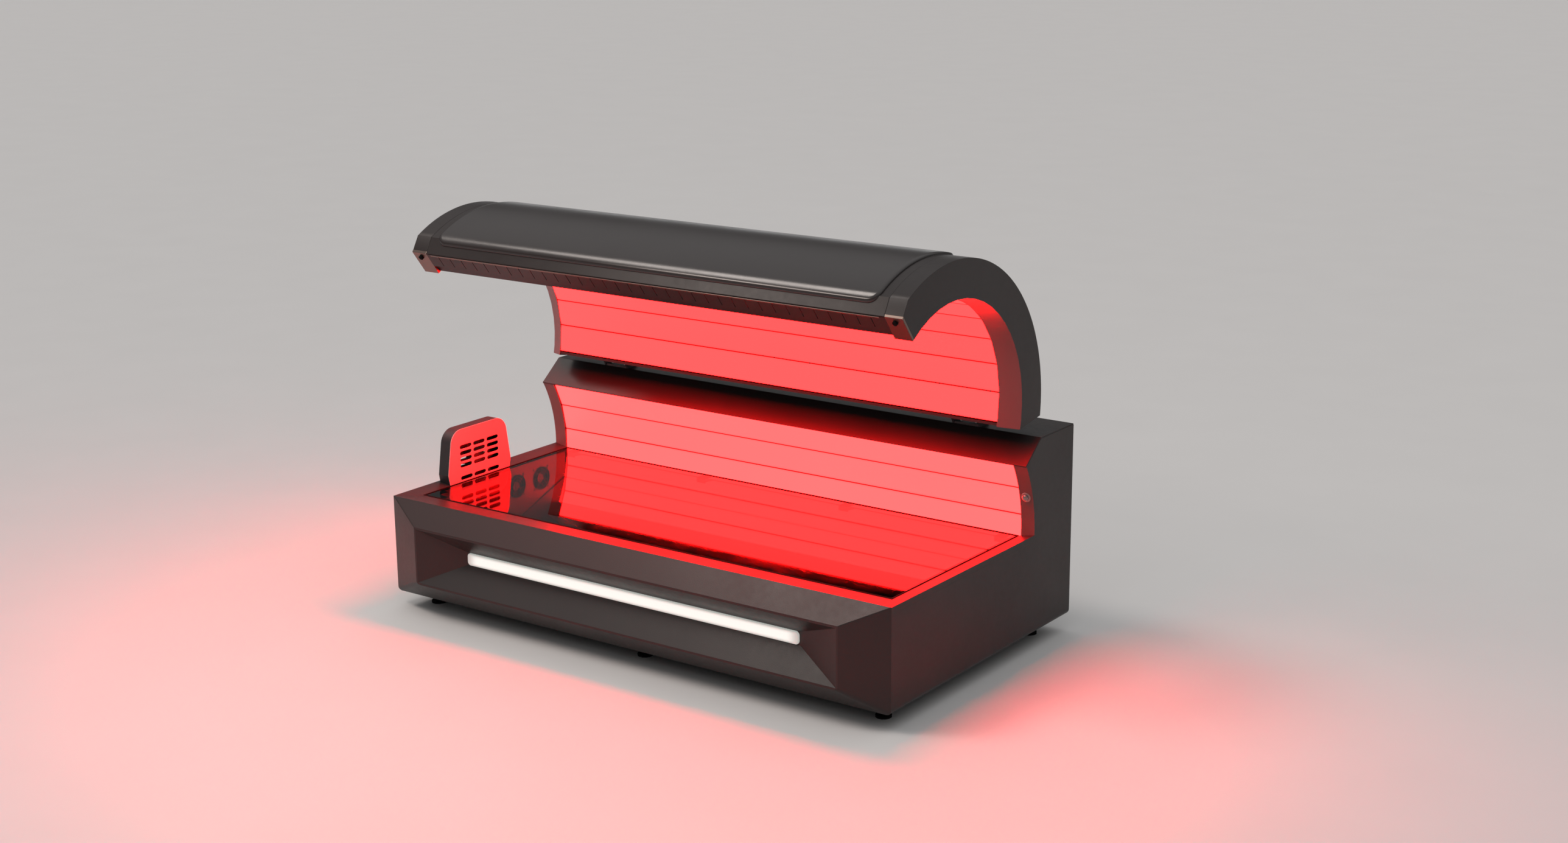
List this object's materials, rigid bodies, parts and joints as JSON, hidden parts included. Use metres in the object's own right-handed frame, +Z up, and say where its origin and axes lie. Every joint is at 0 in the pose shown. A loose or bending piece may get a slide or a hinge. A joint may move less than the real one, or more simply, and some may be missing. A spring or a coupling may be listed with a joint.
{
  "type": "red light therapy pod",
  "caption": "Lie-down red light pod: black base with a lit front bar, clear bed over light panels, curved light wall behind it and a half-round canopy that swings shut on a rear hinge.",
  "frame": {"origin": "centre of the footprint on the floor, canopy open", "axes": "+X along the bed, to the viewer's right from the front; +Y to the rear hinge side; +Z up"},
  "size_m": [2.2, 1.24, 1.4759],
  "materials": {
    "casing": "satin black, moulded",
    "trough": "dark satin paint",
    "lens": "white diffuser, lit",
    "clear_sheet": "clear polished acrylic",
    "rubber": "matt",
    "dark_plastic": "matt black",
    "pale_plastic": "pale moulded plate",
    "light_panel": "diffuser, lit red",
    "bare_metal": "plain extruded",
    "frame_steel": "black powder coat",
    "brushed": "brushed",
    "button": "polished cap"
  },
  "bodies": {
    "base": {"acrylic_bed": "clear_sheet", "base_frame": "frame_steel", "base_heat_sinks": "bare_metal", "base_led_panels": "light_panel", "base_led_ribs": "frame_steel", "bed_brackets": "dark_plastic", "bed_gasket": "rubber", "bed_heat_sinks": "bare_metal", "bed_led_panels": "light_panel", "bed_rim": "casing", "button_bezel": "brushed", "control_box": "dark_plastic", "end_fan_frames": "dark_plastic", "floor_pan": "trough", "front_fascia": "casing", "hinge_bolts": "brushed", "hinge_brackets": "frame_steel", "hinge_cartridges": "frame_steel", "hinge_pins": "brushed", "led_skirt": "casing", "ledge_cover": "casing", "levelling_feet": "rubber", "light_bar_lens": "lens", "light_bar_strip": "bare_metal", "mains_inlet": "dark_plastic", "power_supplies": "bare_metal", "rear_panel": "casing", "rear_screws": "brushed", "rear_top_cover": "casing", "side_panel_left": "casing", "side_panel_right": "casing", "trough_end_left": "trough", "trough_end_right": "trough", "trough_front": "trough", "trough_gussets": "bare_metal", "vent_grille": "pale_plastic", "vent_housing": "dark_plastic"},
    "canopy": {"canopy_bottom_rail": "casing", "canopy_end_left": "casing", "canopy_end_right": "casing", "canopy_front_panel": "casing", "canopy_heat_sinks": "bare_metal", "canopy_hinge_arms": "frame_steel", "canopy_led_panels": "light_panel", "canopy_lip": "casing", "canopy_ribs": "frame_steel", "canopy_shell": "casing", "lip_bumpers": "rubber", "lip_end_caps": "brushed", "lip_trim": "brushed"},
    "push_button": {"push_button": "button"},
    "vent_fan": {"vent_fan": "dark_plastic"},
    "end_fan_left_1": {"end_fan_left_1": "dark_plastic"},
    "end_fan_left_2": {"end_fan_left_2": "dark_plastic"},
    "end_fan_right_1": {"end_fan_right_1": "dark_plastic"},
    "end_fan_right_2": {"end_fan_right_2": "dark_plastic"}
  },
  "joints": [
    {"name": "canopy_hinge", "type": "hinge", "parent": "base", "child": "canopy", "pos_m": [0, 0.379, 0.83], "axis": [1, 0, 0], "range_deg": [0, 56.5]},
    {"name": "button_press", "type": "slide", "parent": "base", "child": "push_button", "axis": [0, 0.9695, 0.2451], "range_m": [0, 0.0025], "stiffness_N_per_m": 800},
    {"name": "vent_fan_spin", "type": "hinge", "parent": "base", "child": "vent_fan", "pos_m": [-1.068, -0.151, 0.471], "axis": [1, 0, 0], "continuous": true},
    {"name": "end_fan_left_1_spin", "type": "hinge", "parent": "base", "child": "end_fan_left_1", "pos_m": [-1.0615, 0.058, 0.315], "axis": [1, 0, 0], "continuous": true},
    {"name": "end_fan_left_2_spin", "type": "hinge", "parent": "base", "child": "end_fan_left_2", "pos_m": [-1.0615, 0.2, 0.315], "axis": [1, 0, 0], "continuous": true},
    {"name": "end_fan_right_1_spin", "type": "hinge", "parent": "base", "child": "end_fan_right_1", "pos_m": [1.0615, 0.058, 0.315], "axis": [1, 0, 0], "continuous": true},
    {"name": "end_fan_right_2_spin", "type": "hinge", "parent": "base", "child": "end_fan_right_2", "pos_m": [1.0615, 0.2, 0.315], "axis": [1, 0, 0], "continuous": true}
  ]
}
